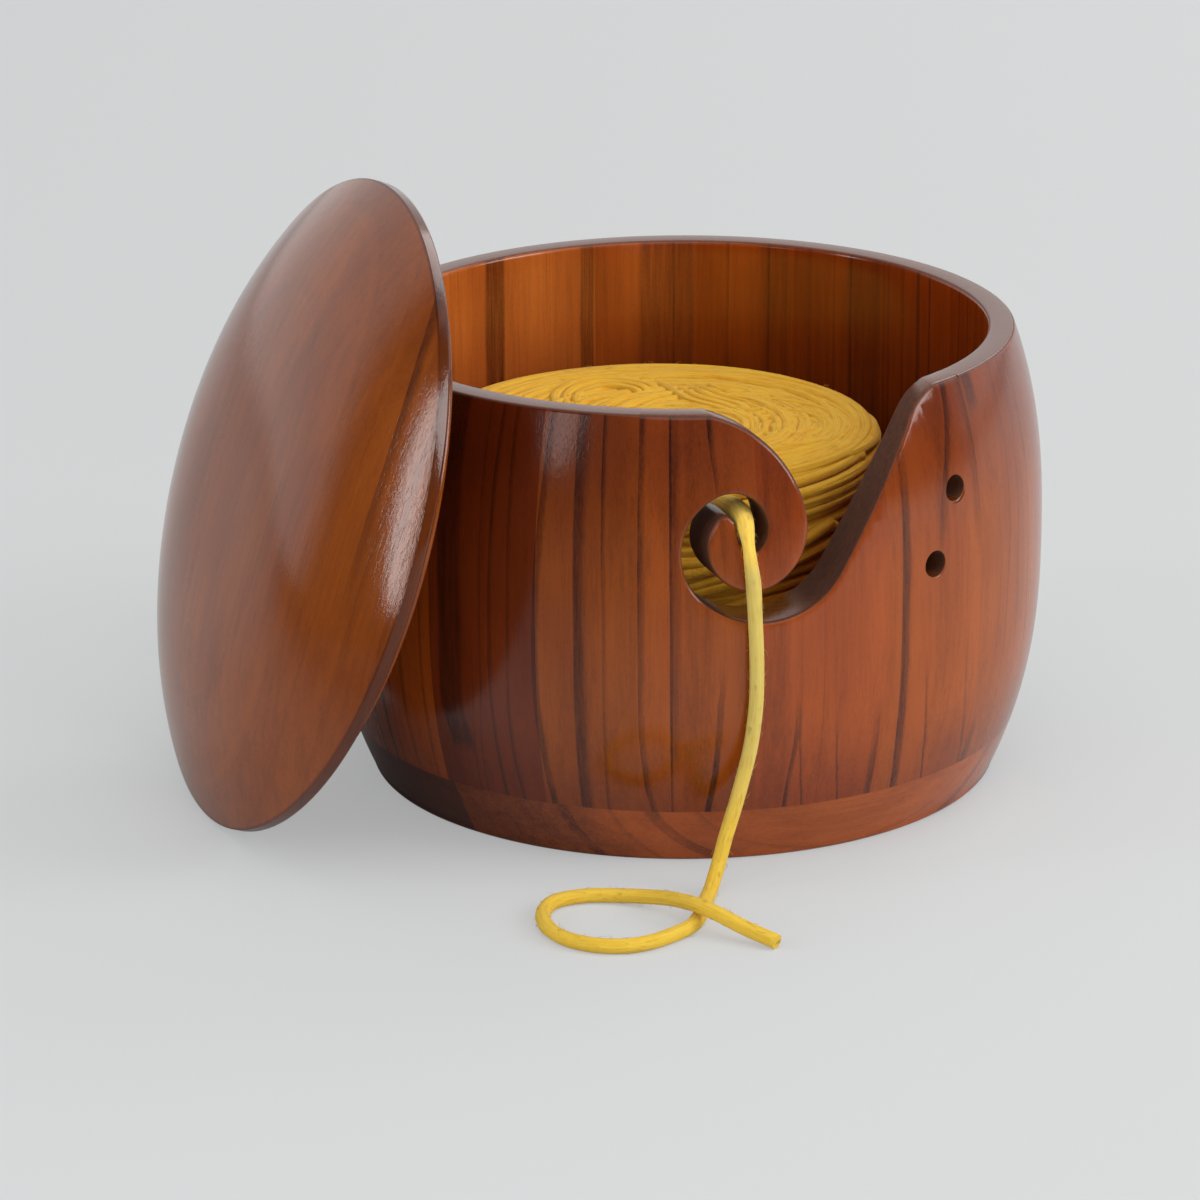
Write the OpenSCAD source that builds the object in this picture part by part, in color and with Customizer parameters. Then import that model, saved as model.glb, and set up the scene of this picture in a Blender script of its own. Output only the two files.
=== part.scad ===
// Lidded yarn bowl: a staved hardwood barrel with a spiral yarn slot, two needle holes, a domed lid that
// leans against it, and a cake of yarn with its free end threaded through the slot.
// Millimetres, +Z up. The origin is the centre of the bowl's underside. Azimuths are measured from the front
// (-Y), counter-clockwise seen from above.

/* [Bowl] */
// Height of the bowl without its lid
bowl_h = 113.2; // [105:0.1:125]
// Outer radius at the widest height
bulge_r = 90; // [86:0.1:96]
// Height of the widest place
bulge_z = 61; // [50:0.5:70]
// How far the wall draws in from there to the rim
rim_draw = 7.7; // [4:0.1:10]
// How far it draws in to the underside
foot_draw = 11.9; // [8:0.1:16]
// Power of the barrel curve: 2 is a parabola, higher is fuller
fullness = 2.5; // [2:0.1:3]
// Thickness of the wall at the rim, down to the straight bore
rim_wall = 6.6; // [5:0.1:8]
// Rounding of the rim's two edges
rim_round = 1.2; // [0.6:0.1:2]
// Thickness of the base disc
base_h = 14.5; // [10:0.5:18]
// Rounding of the edge that stands on the table
foot_round = 1.5; // [0.6:0.1:3]
// Boards glued edge to edge in the base
base_boards = 3; // [2:1:5]
// Direction of the base boards, from +X
base_grain = 30; // [0:1:90]

/* [Spiral slot] */
// Azimuth along which the slot is sawn through the wall
slot_az = 20; // [10:1:30]
// Right end of the slot's mouth, sideways from that azimuth
mouth_right = 36.6; // [34:0.1:39]
// Left end of the slot's mouth
mouth_left = -21.6; // [-24:0.1:-19]
// Radius of the lip where the flank meets the rim
lip_r = 13.5; // [11:0.5:16]
// Straight length of the flank
flank_l = 39.5; // [38.5:0.1:40.5]
// Radius of the sweep under the curl
sweep_r = 21.9; // [21.5:0.1:22.5]
// Radius of the turn left of the curl
turn_r = 15.3; // [15:0.1:15.7]
// Radius of the eye that the yarn runs in
eye_r = 7.9; // [7.5:0.1:8.2]
// Radius of the curl's shoulder, from the rim down
shoulder_r = 29.2; // [28.5:0.1:30]
// Radius of the curl's right side
brow_r = 15.8; // [15.4:0.1:16.2]
// Radius of the curl's underside
curl_r = 10.7; // [10.2:0.1:11]
// Radius of the curl's tip
tip_r = 2.9; // [2.6:0.1:3.2]

/* [Needle holes] */
// Radius of both holes
needle_r = 3.2; // [2:0.1:4.5]
// Azimuth of the upper hole
upper_az = 47.6; // [46:0.1:49]
// Distance of the upper hole below the rim
upper_drop = 25; // [20:0.5:32]
// Azimuth of the lower hole
lower_az = 42.4; // [39:0.1:45]
// Distance of the lower hole below the rim
lower_drop = 42; // [38:0.5:60]

/* [Lid] */
// How far the lid's edge stays inside the rim's
lid_inset = 1.2; // [0:0.1:3]
// Height of the dome above its underside
dome_h = 20.7; // [14:0.1:28]
// Thickness of the lid at its edge
lid_edge = 3.1; // [2:0.1:5]
// Power of the dome curve: 2 is a parabola, higher is fuller
dome_fullness = 3.1; // [2:0.1:4]
// Rounding of the lid's lower edge
lid_round = 1; // [0.4:0.1:1.4]
// Depth of the step that drops into the bore
step_h = 3.5; // [2:0.1:6]
// Gap round the step in the bore
step_gap = 0.7; // [0.3:0.1:1.5]
// Boards glued edge to edge in the lid
lid_boards = 5; // [3:1:6]
// Direction that the leaning lid's dome faces, from +X
lid_side = 201.5; // [190:0.5:215]
// Lean of the lid from upright
lid_lean = 18.6; // [12:0.1:25]

/* [Yarn] */
// Diameter of the yarn
yarn_d = 3.6; // [2.5:0.1:3.9]
// Outer radius of the cake of yarn
cake_r = 58.5; // [54:0.5:60]
// Height of the cake
cake_h = 72.2; // [68:0.2:73]
// Place of the cake's axis along X
cake_x = -8; // [-12:0.5:0]
// Radius of the bend from the cake's side to its top
cake_bend = 6; // [4:0.5:10]
// Rise of the cake's top from its edge to its middle
cake_crown = 2; // [0:0.5:5]
// Turns in the outer layer
cake_turns = 24; // [16:1:24]
// Radius at which the turns end on top
cake_eye = 12; // [10:0.5:20]

/* [Clearances] */
// Gap between pieces that move apart
free_gap = 0.3; // [0.2:0.05:0.6]
// Gap between the turns and the core that they lie on
wrap_gap = 0.25; // [0.1:0.05:0.5]

/* [Hidden] */
$fn = 180;
// Widths of the staves at the bulge, counter-clockwise from the joint through the curl
stave_widths = [34, 32, 32, 33, 33, 33, 32, 31, 32, 33, 31, 31, 31, 31, 31, 31, 25, 29];
stave_count = len(stave_widths);
first_joint = 11.5;
mouth_r = bulge_r - rim_draw;
bore_r = mouth_r - rim_wall;
curve_steps = 16;
round_steps = 3;
dome_steps = 16;
arc_step = 12;
// The cutters reach past the faces that they cut by this much
reach = 2;

function total(list, n) = n == 0 ? 0 : list[n - 1] + total(list, n - 1);
function joint_az(i) = first_joint + 360 * total(stave_widths, i) / total(stave_widths, stave_count);

// Outer radius of the turned barrel at height z
function barrel_r(z) = z > bulge_z
    ? bulge_r - rim_draw * pow((z - bulge_z) / (bowl_h - bulge_z), fullness)
    : bulge_r - foot_draw * pow((bulge_z - z) / bulge_z, fullness);

// Points of a rounded corner, from one angle to another
function corner(centre, r, from, to, steps) =
    [for (k = [0 : steps]) let (a = from + (to - from) * k / steps) centre + r * [cos(a), sin(a)]];

// Half section of the wall: up the outside, over the rounded rim, down the bore
wall_top = bowl_h - rim_round;
// The outside already slopes in where the rounding starts, so that corner turns only from here to the top
rim_slope = 30;
wall_section = concat(
    [[bore_r, base_h]],
    [for (k = [0 : curve_steps]) let (z = base_h + (wall_top - base_h) * k / curve_steps) [barrel_r(z), z]],
    corner([barrel_r(wall_top) - rim_round, wall_top], rim_round, rim_slope, 90, round_steps - 1),
    corner([bore_r + rim_round, wall_top], rim_round, 90, 180, round_steps)
);

// Half section of the base disc, with the curve of the barrel carried down to a rounded foot
foot_in = barrel_r(foot_round) - foot_round;
base_section = concat(
    [[0, 0]],
    corner([foot_in, foot_round], foot_round, 270, 360, round_steps),
    [for (k = [1 : round_steps])
        let (z = foot_round + (base_h - foot_round) * k / round_steps) [barrel_r(z), z]],
    [[0, base_h]]
);

// Points along a path of arcs. A leg is [radius, turn], or [length, 0] for a straight one.
// Left turns are positive.
function walk(at, facing, legs, i = 0) = i == len(legs) ? [] :
    let (
        size = legs[i][0],
        turn = legs[i][1],
        side = sign(turn),
        centre = at + side * size * [-sin(facing), cos(facing)],
        steps = max(1, ceil(abs(turn) / arc_step)),
        points = turn == 0
            ? [at + size * [cos(facing), sin(facing)]]
            : [for (k = [1 : steps])
                let (a = facing - 90 * side + turn * k / steps) centre + size * [cos(a), sin(a)]]
    )
    concat(points, walk(points[len(points) - 1], facing + turn, legs, i + 1));

// The slot seen along slot_az: sideways, and up from the table. Both edges start at the rim and wind inwards.
// The right edge: lip, flank, sweep, turn and eye
mouth_right_end = [mouth_right, bowl_h];
lip_facing = 193.9;
slot_legs = [[lip_r, 43.8], [flank_l, 0], [sweep_r, -95.1], [turn_r, -116.9], [eye_r, -163.8]];
slot_edge = walk(mouth_right_end, lip_facing, slot_legs);
// The left edge: shoulder, brow, curl and tip
mouth_left_end = [mouth_left, bowl_h];
shoulder_facing = -16;
curl_legs = [[shoulder_r, -67.9], [brow_r, -69.1], [curl_r, -157.6], [tip_r, -56]];
curl_edge = walk(mouth_left_end, shoulder_facing, curl_legs);
// The slot's blind end has two corners, each this far from the end of its edge
eye_corner = [-4.1, 2.2];
tip_corner = [1.4, -1.4];
slot_outline = concat(
    [mouth_right_end + reach * [1 / tan(lip_facing), 1], mouth_right_end],
    slot_edge,
    [slot_edge[len(slot_edge) - 1] + eye_corner, curl_edge[len(curl_edge) - 1] + tip_corner],
    [for (k = [len(curl_edge) - 1 : -1 : 0]) curl_edge[k]],
    [mouth_left_end, mouth_left_end + reach * [1 / tan(shoulder_facing), 1]]
);
// Staves whose middle lies within this many degrees of the slot's azimuth are cut
cut_spread = 48;
// The cutters start halfway into the bowl and reach out past the bulge
cutter_from = bore_r / 2;
cutter_l = bulge_r + reach - cutter_from;

// Half section of the lid, dome up, with its step below z = 0
lid_r = mouth_r - lid_inset;
step_r = bore_r - step_gap;
function dome_z(r) = lid_edge + (dome_h - lid_edge) * (1 - pow(r / lid_r, dome_fullness));
lid_section = concat(
    [[0, -step_h]],
    corner([step_r - lid_round, lid_round - step_h], lid_round, 270, 360, round_steps),
    [[step_r, 0]],
    corner([lid_r - lid_round, lid_round], lid_round, 270, 360, round_steps),
    [for (k = [0 : dome_steps]) let (r = lid_r * sin(90 - 90 * k / dome_steps)) [r, dome_z(r)]]
);
// The lid stands on its edge, and its step leans on the barrel's rim
lid_z = max([for (p = lid_section) p.x * cos(lid_lean) - p.y * sin(lid_lean)]);
barrel_reach = max([for (p = wall_section) p.x * cos(lid_lean) + p.y * sin(lid_lean)]);
lid_out = (barrel_reach + free_gap + step_h - lid_z * sin(lid_lean)) / cos(lid_lean);

// The cake: the middle line of its outer turns runs up the side, round the bend and in over the top
cake_floor = base_h + free_gap;
turn_out = cake_r - yarn_d / 2;
turn_low = cake_floor + yarn_d;
bend_x = turn_out - cake_bend;
bend_z = cake_floor + cake_h - yarn_d / 2 - cake_crown - cake_bend;
side_l = bend_z - turn_low;
bend_l = cake_bend * PI / 2;
top_l = bend_x - cake_eye;
turn_pitch = (side_l + bend_l + top_l) / cake_turns;
rings_a_turn = 24;
cord_sides = 6;
end_ease = 1.5;

// Height of the top's crown above the bend, and a place on the top
function crown_z(r) = cake_crown * (1 - pow(r / bend_x, 2));
function on_top(r, off) = [r, bend_z + cake_bend + off + crown_z(r)];
// Place [radius, height] on that line, a distance along it, moved out by off
function cake_line(along, off = 0) =
    along < side_l ? [turn_out + off, turn_low + along]
    : along < side_l + bend_l ? let (a = 90 * (along - side_l) / bend_l)
        [bend_x + (cake_bend + off) * cos(a), bend_z + (cake_bend + off) * sin(a)]
    : on_top(bend_x - (along - side_l - bend_l), off);
// The last turn draws in a little, so that its straight end clears the turn outside it
function drawn_in(turns) = end_ease * pow(max(0, turns - cake_turns + 1), 2);
function turn_point(turns, off = 0) =
    let (p = cake_line(turns * turn_pitch, off), a = 360 * turns, r = p.x - drawn_in(turns))
    [r * cos(a), r * sin(a), p.y];
function unit(v) = v / norm(v);
turn_rings = [for (k = [0 : cake_turns * rings_a_turn]) k / rings_a_turn];
turn_line = [for (t = turn_rings) turn_point(t)];
turn_outward = [for (t = turn_rings) unit(turn_point(t, 1) - turn_point(t))];
core_off = -yarn_d / 2 - wrap_gap;
core_section = concat(
    [[0, cake_floor], [turn_out + core_off, cake_floor]],
    [for (k = [0 : curve_steps - 1]) cake_line(side_l + bend_l * k / curve_steps, core_off)],
    [for (k = [0 : dome_steps]) on_top(bend_x * (1 - k / dome_steps), core_off)]
);

// The yarn's free end: off the cake's shoulder, out through the eye, down the barrel, once round on the table
tail_route = [
    [3.9, -55.9, 83.4], [6, -61, 85], [8.6, -67, 86.6], [11.2, -73.2, 87.8], [13, -78.8, 88.4],
    [14.2, -83.4, 88.2], [15, -87.4, 86.6], [15.5, -90.2, 83.6], [16, -91, 79.8], [16.7, -90.5, 74],
    [17.1, -90.5, 66], [17.5, -90.5, 56.5], [17.5, -90.2, 47], [17, -90, 40], [16, -90.2, 33],
    [14.3, -91.2, 26], [12.3, -92.8, 19], [10.2, -94.8, 12.5], [8.6, -97, 7], [7.3, -99.8, 3.4],
    [6.3, -104, 1.9], [5.2, -110, 1.8], [4.3, -117, 1.8], [2.2, -124.6, 1.8], [-2.5, -130.6, 1.8],
    [-7.6, -135, 1.8], [-13.5, -137.4, 1.8], [-21, -136.6, 1.8], [-27.6, -132.4, 1.8],
    [-31.8, -125.2, 1.8], [-32.8, -116.4, 1.8], [-30, -109.4, 1.8], [-23, -106, 1.8], [-15, -106.4, 2],
    [-8, -109.4, 2.9], [-2.4, -114.6, 4.4], [3, -121.6, 5.8], [8.4, -126.4, 5.2], [14.4, -130.2, 3.4],
    [21.8, -134.9, 1.8]
];
tail_sides = 8;
// A point between route points b and c of a smooth curve through a, b, c and d
function between(a, b, c, d, t) =
    (2 * b + (c - a) * t + (2 * a - 5 * b + 4 * c - d) * t * t + (3 * b - a - 3 * c + d) * t * t * t) / 2;
tail_last = len(tail_route) - 1;
function tail_point(k) = tail_route[max(0, min(tail_last, k))];
tail_line = concat(
    [for (k = [0 : tail_last - 1], t = [0, 0.5])
        between(tail_point(k - 1), tail_point(k), tail_point(k + 1), tail_point(k + 2), t)],
    [tail_route[tail_last]]
);

// Direction of a line at point k
function heading(line, k) = unit(line[min(len(line) - 1, k + 1)] - line[max(0, k - 1)]);
// The part of v that is square to a direction, at length 1
function square_to(v, along) = unit(v - along * (v * along));
// Normals carried along a line without twist, from a first one
function carried(line, first) =
    [for (k = 0, n = square_to(first, heading(line, 0)); k < len(line);
        k = k + 1, n = k < len(line) ? square_to(n, heading(line, k)) : n) n];

// A round cord of the given diameter along a line, with a normal at each point
module cord(line, normals, d, sides) {
    count = len(line);
    points = [for (k = [0 : count - 1], s = [0 : sides - 1])
        let (n = normals[k], b = cross(heading(line, k), n), a = 360 * (s + 0.5) / sides)
        line[k] + d / 2 * (cos(a) * n + sin(a) * b)];
    walls = [for (k = [0 : count - 2], s = [0 : sides - 1], half = [0, 1])
        let (s2 = (s + 1) % sides, low = k * sides, high = low + sides)
        half == 0 ? [low + s, high + s, high + s2] : [low + s, high + s2, low + s2]];
    first_cap = [for (s = [1 : sides - 2]) [0, s, s + 1]];
    last = (count - 1) * sides;
    last_cap = [for (s = [1 : sides - 2]) [last, last + s + 1, last + s]];
    polyhedron(points, concat(first_cap, walls, last_cap), convexity = 10);
}

// The prism that saws the slot through the wall
module slot_cutter() {
    rotate([0, 0, slot_az])
        translate([0, -cutter_from, 0])
            rotate([90, 0, 0])
                linear_extrude(height = cutter_l)
                    polygon(slot_outline);
}

// The drill of a needle hole, level and square to the wall
module needle_drill(az, drop) {
    rotate([0, 0, az])
        translate([0, -cutter_from, bowl_h - drop])
            rotate([90, 0, 0])
                cylinder(r = needle_r, h = cutter_l);
}

// A stave before it is cut
module stave_blank(i) {
    rotate_extrude(angle = joint_az(i) - joint_az(i - 1), start = joint_az(i - 1) - 90)
        polygon(wall_section);
}

// One stave of the wall: number 1 is right of the joint through the curl
module stave(i) {
    middle = (joint_az(i) + joint_az(i - 1)) / 2;
    from_slot = abs((middle - slot_az + 180) % 360 - 180);
    color([0.52 + 0.05 * sin(97 * i), 0.2 + 0.03 * sin(97 * i), 0.09])
        if (from_slot < cut_spread) {
            difference() {
                stave_blank(i);
                slot_cutter();
                needle_drill(upper_az, upper_drop);
                needle_drill(lower_az, lower_drop);
            }
        } else {
            stave_blank(i);
        }
}

// Strip number i of a round of radius r that is glued up from count boards along Y, between two heights
module board_strip(i, count, r, low, high) {
    width = 2 * r / count;
    left = i == 1 ? -r - reach : -r + (i - 1) * width;
    right = i == count ? r + reach : -r + i * width;
    translate([left, -r - reach, low - reach])
        cube([right - left, 2 * r + 2 * reach, high - low + 2 * reach]);
}

// One board of the base disc
module base_board(i) {
    color([0.42, 0.16 + 0.02 * sin(140 * i), 0.08])
        intersection() {
            rotate_extrude() polygon(base_section);
            rotate([0, 0, base_grain - 90])
                board_strip(i, base_boards, barrel_r(base_h), 0, base_h);
        }
}

// One board of the lid, leaning on the bowl
module lid_board(i) {
    color([0.5, 0.22 + 0.03 * sin(110 * i), 0.1])
        rotate([0, 0, lid_side + 90])
            translate([0, -lid_out, lid_z])
                rotate([90 - lid_lean, 0, 0])
                    intersection() {
                        rotate_extrude() polygon(lid_section);
                        board_strip(i, lid_boards, lid_r, -step_h, dome_h);
                    }
}

// The inside of the cake, under its outer turns
module yarn_core() {
    color([0.86, 0.6, 0.1])
        translate([cake_x, 0, 0])
            rotate_extrude() polygon(core_section);
}

// The outer turns of the cake: one strand, up the side and in over the top
module yarn_winding() {
    first_run = yarn_d * heading(turn_line, 0);
    last_run = yarn_d * heading(turn_line, len(turn_line) - 1);
    line = concat([turn_line[0] - first_run], turn_line, [turn_line[len(turn_line) - 1] + last_run]);
    normals = concat([turn_outward[0]], turn_outward, [turn_outward[len(turn_outward) - 1]]);
    last = len(line) - 1;
    half_turn = rings_a_turn / 2;
    gaps = [for (i = [0 : last])
        for (j = [i + half_turn : min(last, i + 3 * half_turn)]) norm(line[i] - line[j]) - yarn_d];
    echo(least_gap_between_turns = min(gaps));
    color([0.95, 0.7, 0.14])
        translate([cake_x, 0, 0])
            cord(line, [for (k = [0 : last]) square_to(normals[k], heading(line, k))], yarn_d, cord_sides);
}

// The yarn's free end
module yarn_tail() {
    color([0.95, 0.76, 0.2])
        cord(tail_line, carried(tail_line, [0, 0, 1]), yarn_d, tail_sides);
}

for (i = [1 : stave_count])
    stave(i);
for (i = [1 : base_boards])
    base_board(i);
for (i = [1 : lid_boards])
    lid_board(i);
yarn_core();
yarn_winding();
yarn_tail();
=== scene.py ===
import bpy
from math import ceil, cos, pi, radians, sin, sqrt
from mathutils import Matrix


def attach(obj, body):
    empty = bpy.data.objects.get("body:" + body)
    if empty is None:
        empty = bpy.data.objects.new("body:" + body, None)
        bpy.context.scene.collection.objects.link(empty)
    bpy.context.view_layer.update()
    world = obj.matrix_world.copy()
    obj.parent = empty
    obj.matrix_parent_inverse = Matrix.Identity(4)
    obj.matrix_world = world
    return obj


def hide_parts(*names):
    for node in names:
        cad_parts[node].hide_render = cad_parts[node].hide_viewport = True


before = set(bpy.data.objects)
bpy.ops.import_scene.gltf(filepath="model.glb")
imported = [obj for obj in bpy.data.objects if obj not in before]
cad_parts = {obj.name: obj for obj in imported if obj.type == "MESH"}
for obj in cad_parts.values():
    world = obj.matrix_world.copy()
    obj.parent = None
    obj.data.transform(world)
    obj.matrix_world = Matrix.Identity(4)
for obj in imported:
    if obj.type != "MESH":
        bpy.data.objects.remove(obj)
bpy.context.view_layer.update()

camera = bpy.data.objects.new("camera", bpy.data.cameras.new("camera"))
camera.location = (0, -1.32337, 0.48740)
camera.rotation_euler = (radians(71.3158), radians(0.3487), radians(0.7850))
camera.data.sensor_width = 36
camera.data.lens = 165.93
bpy.context.scene.collection.objects.link(camera)
bpy.context.scene.camera = camera
bpy.context.scene.view_settings.view_transform = "Standard"

# The yarn's free end: soft wool roving of one thick strand. It leaves the cake's shoulder, runs up through
# the eye of the slot, hangs down the barrel, and ends cut off on the table after one loose loop.
import bmesh
from mathutils import Matrix, Vector
from random import Random


class Value:
    """One value of a material. Sums and products on it become Math nodes."""

    def __init__(self, socket):
        self.socket = socket

    def math(self, operation, *values, clamp=False):
        node = self.socket.id_data.nodes.new("ShaderNodeMath")
        node.operation = operation
        node.use_clamp = clamp
        for place, value in zip(node.inputs, values):
            feed(place, value)
        return Value(node.outputs[0])

    def __add__(self, other):
        return self.math("ADD", self, other)

    def __radd__(self, other):
        return self.math("ADD", other, self)

    def __sub__(self, other):
        return self.math("SUBTRACT", self, other)

    def __rsub__(self, other):
        return self.math("SUBTRACT", other, self)

    def __mul__(self, other):
        return self.math("MULTIPLY", self, other)

    def __rmul__(self, other):
        return self.math("MULTIPLY", other, self)

    def __truediv__(self, other):
        return self.math("DIVIDE", self, other)

    def __rtruediv__(self, other):
        return self.math("DIVIDE", other, self)

    def __pow__(self, other):
        return self.math("POWER", self, other)

    def held(self):
        """The value, kept between 0 and 1."""
        return self.math("ADD", self, 0, clamp=True)


def feed(place, value):
    """Links a value to a socket, or sets the socket to a number or colour."""
    if isinstance(value, Value):
        place.id_data.links.new(value.socket, place)
    else:
        place.default_value = value


class Nodes:
    """The nodes of a material or a world, with short ways to make those used here."""

    def __init__(self, nodes):
        self.nodes = nodes

    def node(self, kind, settings, sockets, output=0):
        """One output of a new node."""
        node = self.nodes.new("ShaderNode" + kind)
        for name, value in settings.items():
            setattr(node, name, value)
        for name, value in sockets.items():
            feed(node.inputs[name], value)
        return Value(node.outputs[output])

    def split(self, vector):
        node = self.nodes.new("ShaderNodeSeparateXYZ")
        feed(node.inputs[0], vector)
        return [Value(out) for out in node.outputs]

    def point(self, x, y, z):
        return self.node("CombineXYZ", {}, {0: x, 1: y, 2: z})

    def noise(self, place, scale, seed, detail, roughness=0.5):
        """Noise, mostly between 0.3 and 0.7, at a place in space."""
        return self.node("TexNoise", {"noise_dimensions": "4D"}, {
            "Vector": place, "W": seed, "Scale": scale, "Detail": detail, "Roughness": roughness})

    def ramp(self, value, stops, between):
        """The number that stops of (place, number) give along a value from 0 to 1."""
        level = self.node("ValToRGB", {}, {"Fac": value})
        ramp = level.socket.node.color_ramp
        while len(ramp.elements) < len(stops):
            ramp.elements.new(1)
        for stop, (place, number) in zip(ramp.elements, stops):
            stop.position = place
            stop.color = (number, number, number, 1)
        ramp.interpolation = between
        return level

    def step(self, value, low, high):
        """0 below low, 1 above high, and smooth between."""
        return self.node("MapRange", {"interpolation_type": "SMOOTHSTEP"},
                         {"Value": value, "From Min": low, "From Max": high})

    def mix(self, share, low, high, mode="MIX"):
        """A colour between low and high by share, or both put together in another mode."""
        return self.node("Mix", {"data_type": "RGBA", "blend_type": mode}, {0: share, 6: low, 7: high}, 2)

    def bump(self, height, distance):
        return self.node("Bump", {}, {"Height": height, "Distance": distance})


class Finish(Nodes):
    """A material built round one Principled BSDF."""

    def __init__(self, name, **shader):
        self.material = bpy.data.materials.new(name)
        self.material.use_nodes = True
        super().__init__(self.material.node_tree.nodes)
        self.shader = self.nodes["Principled BSDF"]
        self.set(shader)

    def set(self, sockets):
        """Feeds the shader's inputs. An underscore in a name stands for a space."""
        for name, value in sockets.items():
            feed(self.shader.inputs[name.replace("_", " ")], value)


def finished(name, shape, material, body, sharp=None):
    """The object of a finished mesh, riding on its body. Edges with more than sharp degrees stay sharp."""
    if isinstance(shape, bmesh.types.BMesh):
        mesh = bpy.data.meshes.new(name)
        shape.to_mesh(mesh)
        shape.free()
    else:
        mesh = shape
        mesh.name = name
    for face in mesh.polygons:
        face.use_smooth = True
    if sharp:
        mesh.set_sharp_from_angle(angle=radians(sharp))
    mesh.materials.clear()
    mesh.materials.append(material)
    piece = bpy.data.objects.new(name, mesh)
    bpy.context.scene.collection.objects.link(piece)
    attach(piece, body)
    return piece


def strand_mesh(lines, sides):
    """Round strands along lines of (point, radius), as one mesh. U is the length along each, in metres."""
    curve = bpy.data.curves.new("strand", "CURVE")
    curve.dimensions = "3D"
    curve.bevel_depth = 1
    curve.bevel_mode = "ROUND"
    curve.bevel_resolution = sides // 2 - 2
    curve.use_fill_caps = True
    for line in lines:
        spline = curve.splines.new("POLY")
        spline.points.add(len(line) - 1)
        for knot, (place, radius) in zip(spline.points, line):
            knot.co = (*place, 1)
            knot.radius = radius
    holder = bpy.data.objects.new("strand", curve)
    bpy.context.scene.collection.objects.link(holder)
    depsgraph = bpy.context.evaluated_depsgraph_get()
    mesh = bpy.data.meshes.new_from_object(holder.evaluated_get(depsgraph))
    bpy.data.objects.remove(holder)
    loops = mesh.uv_layers[0].data
    first = 0
    for line in lines:
        length = sum((b[0] - a[0]).length for a, b in zip(line, line[1:]))
        last = first + 4 * sides * (len(line) - 1) + 2 * sides
        for loop in loops[first:last]:
            loop.uv.x *= length
        first = last
    return mesh


def smooth_line(knots, steps):
    """Points of a smooth curve through the knots, with the given steps between each two."""
    knots = [Vector(knot) for knot in knots]
    line = []
    for i in range(len(knots) - 1):
        a, b, c, d = knots[max(0, i - 1)], knots[i], knots[i + 1], knots[min(len(knots) - 1, i + 2)]
        for k in range(steps):
            t = k / steps
            line.append((2 * b + (c - a) * t + (2 * a - 5 * b + 4 * c - d) * t * t
                         + (3 * b - a - 3 * c + d) * t ** 3) / 2)
    return line + [knots[-1]]


def fluff(line, radius, count, chance):
    """Fine loose fibres that stand off a strand, each a thin bent line of (point, radius)."""
    hairs = []
    for k in range(count):
        i = chance.randrange(2, len(line) - 3)
        along = (line[i + 1] - line[i - 1]).normalized()
        out = along.orthogonal().normalized()
        out.rotate(Matrix.Rotation(chance.uniform(0, 2 * pi), 3, along))
        lean = chance.uniform(0.3, 1.6) * chance.choice((-1, 1))
        reach = chance.uniform(0.0004, 0.0011)
        root = line[i] + out * radius * 0.9
        bend = root + (out + along * lean) * reach * 0.6
        tip = bend + (out * chance.uniform(-0.3, 0.7) + along * lean * 1.3) * reach
        if min(bend.z, tip.z) > 0.0002:
            hairs.append([(root, 0.00004), (bend, 0.00004), (tip, 0.00002)])
    return hairs


white = (1, 1, 1, 1)


def wool(name, tone, shade, depth, low, high, lean=0.0, painted_eye_light=white):
    """Loose wool: fine lengthwise fibres, with painted shade in the hollows of their relief, and a soft
    sheen. Its colour is multiplied by depth below low, and less and less up to high. Both heights may lean
    with x. Where the strand bends over the eye of the slot, its colour is multiplied by the last argument, a
    painted light where the eye shades it."""
    finish = Finish(name, Roughness=0.9, Specular_IOR_Level=0.1, Sheen_Weight=0.25, Sheen_Roughness=0.4,
                    Sheen_Tint=(1, 0.85, 0.5, 1))
    place = finish.node("TexCoord", {}, {}, "Object")
    x, y, z = finish.split(place)
    clumps = finish.noise(place, 350, 1.0, 3)
    u, v, w = finish.split(finish.node("TexCoord", {}, {}, "UV"))
    fibres = finish.noise(finish.point(u * 90, v * 24, 0.0), 1.0, 2.0, 3, 0.6)
    plies = finish.noise(finish.point(u * 40, v * 7, 0.0), 1.0, 3.0, 1)
    level = finish.step(clumps * 0.25 + fibres * 0.5 + plies * 0.25, 0.3, 0.55)
    # Painted shade: the low places of the relief take the shade colour.
    colour = finish.mix(level, shade, tone)
    risen = finish.step(z - x * lean, low, high)
    # Painted light: above 76 mm the colour is lifted where the strand lies in the shade of the eye.
    eye_light_factor = finish.mix(finish.step(z, 0.076, 0.083), white, painted_eye_light)
    colour = finish.mix(1.0, colour, eye_light_factor, "MULTIPLY")
    # Below low the colour is multiplied by depth: painted shade on the cake, a deeper yellow near the floor
    # on the tail.
    colour = finish.mix(1.0, colour, finish.mix(risen, depth, white), "MULTIPLY")
    finish.set({"Base_Color": colour, "Normal": finish.bump(fibres * 0.5 + plies + clumps * 0.3, 0.0006)})
    return finish.material


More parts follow.
